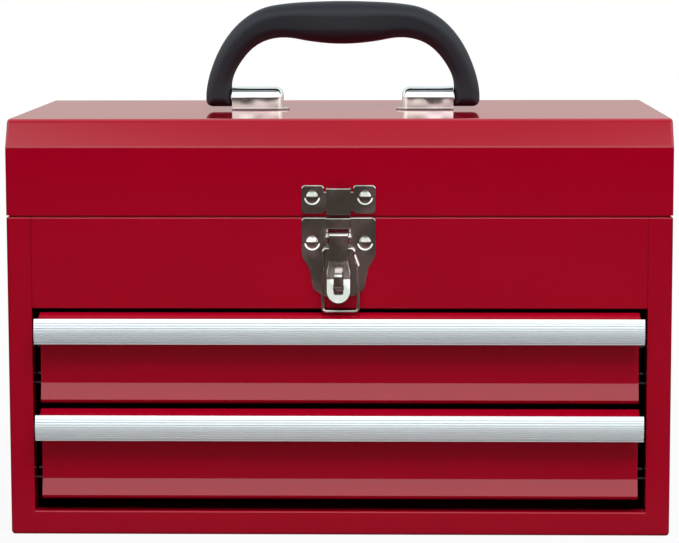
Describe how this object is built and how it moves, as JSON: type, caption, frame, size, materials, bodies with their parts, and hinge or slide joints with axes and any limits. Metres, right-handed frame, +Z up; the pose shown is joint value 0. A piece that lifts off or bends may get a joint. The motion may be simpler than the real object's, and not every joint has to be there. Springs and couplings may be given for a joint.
{
  "type": "tool box with drawers",
  "caption": "Portable steel tool box: hinged bevelled lid over a top compartment, full-width drawers with ribbed pulls, draw latch and folding carry handle.",
  "frame": {"origin": "centre of the base, on the surface it stands on", "axes": "+X to the box's right seen from the front, +Y to the rear, +Z up"},
  "size_m": [0.363, 0.2208, 0.2918],
  "materials": {
    "red_paint": "smooth gloss enamel",
    "slide_steel": "bright zinc plate",
    "latch_nickel": "bright nickel plate",
    "pull_metal": "fine lengthwise ribs, satin",
    "grip_plastic": "moulded, soft sheen"
  },
  "bodies": {
    "cabinet": {"side_panel_left": "red_paint", "side_panel_right": "red_paint", "back_panel": "red_paint", "bottom_pan": "red_paint", "front_panel": "red_paint", "tray_floor": "red_paint", "tray_flanges": "red_paint", "slide_posts": "red_paint", "outer_slides_1": "slide_steel", "outer_slides_2": "slide_steel", "outer_slide_rivets_1": "slide_steel", "outer_slide_rivets_2": "slide_steel", "latch_base": "latch_nickel", "latch_base_rivets": "latch_nickel", "latch_staple": "latch_nickel", "latch_lever_pin": "latch_nickel", "hinge_leaf_cabinet": "slide_steel", "hinge_pin": "slide_steel", "stay_studs": "slide_steel"},
    "lid": {"lid_shell": "red_paint", "hinge_leaf_lid": "slide_steel", "strike_plate": "latch_nickel", "strike_rivets": "latch_nickel", "stay_pivots": "slide_steel", "handle_bracket_left": "latch_nickel", "handle_bracket_right": "latch_nickel"},
    "handle": {"handle_grip": "grip_plastic", "handle_pins": "slide_steel"},
    "stays": {"stay_arm_left": "slide_steel", "stay_arm_right": "slide_steel"},
    "latch_lever": {"latch_lever": "latch_nickel"},
    "latch_bail": {"latch_bail": "latch_nickel"},
    "drawer_1": {"drawer_1_tray": "red_paint", "drawer_1_front": "red_paint", "drawer_1_pull": "pull_metal", "drawer_1_inner_slides": "slide_steel", "drawer_1_rivets": "slide_steel"},
    "drawer_1_cages": {"drawer_1_ball_cages": "slide_steel", "drawer_1_balls": "slide_steel"},
    "drawer_2": {"drawer_2_tray": "red_paint", "drawer_2_front": "red_paint", "drawer_2_pull": "pull_metal", "drawer_2_inner_slides": "slide_steel", "drawer_2_rivets": "slide_steel"},
    "drawer_2_cages": {"drawer_2_ball_cages": "slide_steel", "drawer_2_balls": "slide_steel"}
  },
  "joints": [
    {"name": "lid_hinge", "type": "hinge", "parent": "cabinet", "child": "lid", "pos_m": [0, 0.1038, 0.1767], "axis": [-1, 0, 0], "range_deg": [0, 95]},
    {"name": "stay_pivot", "type": "hinge", "parent": "lid", "child": "stays", "pos_m": [0, 0.0813, 0.21567], "axis": [1, 0, 0], "range_deg": [0, 47.5]},
    {"name": "handle_pivot", "type": "hinge", "parent": "lid", "child": "handle", "pos_m": [0, 0, 0.2362], "axis": [1, 0, 0], "range_deg": [-80, 80]},
    {"name": "lever_pivot", "type": "hinge", "parent": "cabinet", "child": "latch_lever", "pos_m": [0, -0.1059, 0.1658], "axis": [-1, 0, 0], "range_deg": [0, 100]},
    {"name": "bail_pivot", "type": "hinge", "parent": "latch_lever", "child": "latch_bail", "pos_m": [0, -0.1051, 0.1594], "axis": [-1, 0, 0], "range_deg": [0, 80]},
    {"name": "drawer_1_slide", "type": "slide", "parent": "cabinet", "child": "drawer_1", "axis": [0, -1, 0], "range_m": [0, 0.125]},
    {"name": "drawer_1_cage_slide", "type": "slide", "parent": "cabinet", "child": "drawer_1_cages", "axis": [0, -1, 0], "range_m": [0, 0.0625]},
    {"name": "drawer_2_slide", "type": "slide", "parent": "cabinet", "child": "drawer_2", "axis": [0, -1, 0], "range_m": [0, 0.125]},
    {"name": "drawer_2_cage_slide", "type": "slide", "parent": "cabinet", "child": "drawer_2_cages", "axis": [0, -1, 0], "range_m": [0, 0.0625]}
  ],
  "couplings": [
    {"joint": "stay_pivot", "follows": "lid_hinge", "ratio": 0.5},
    {"joint": "drawer_1_cage_slide", "follows": "drawer_1_slide", "ratio": 0.5},
    {"joint": "drawer_2_cage_slide", "follows": "drawer_2_slide", "ratio": 0.5}
  ]
}
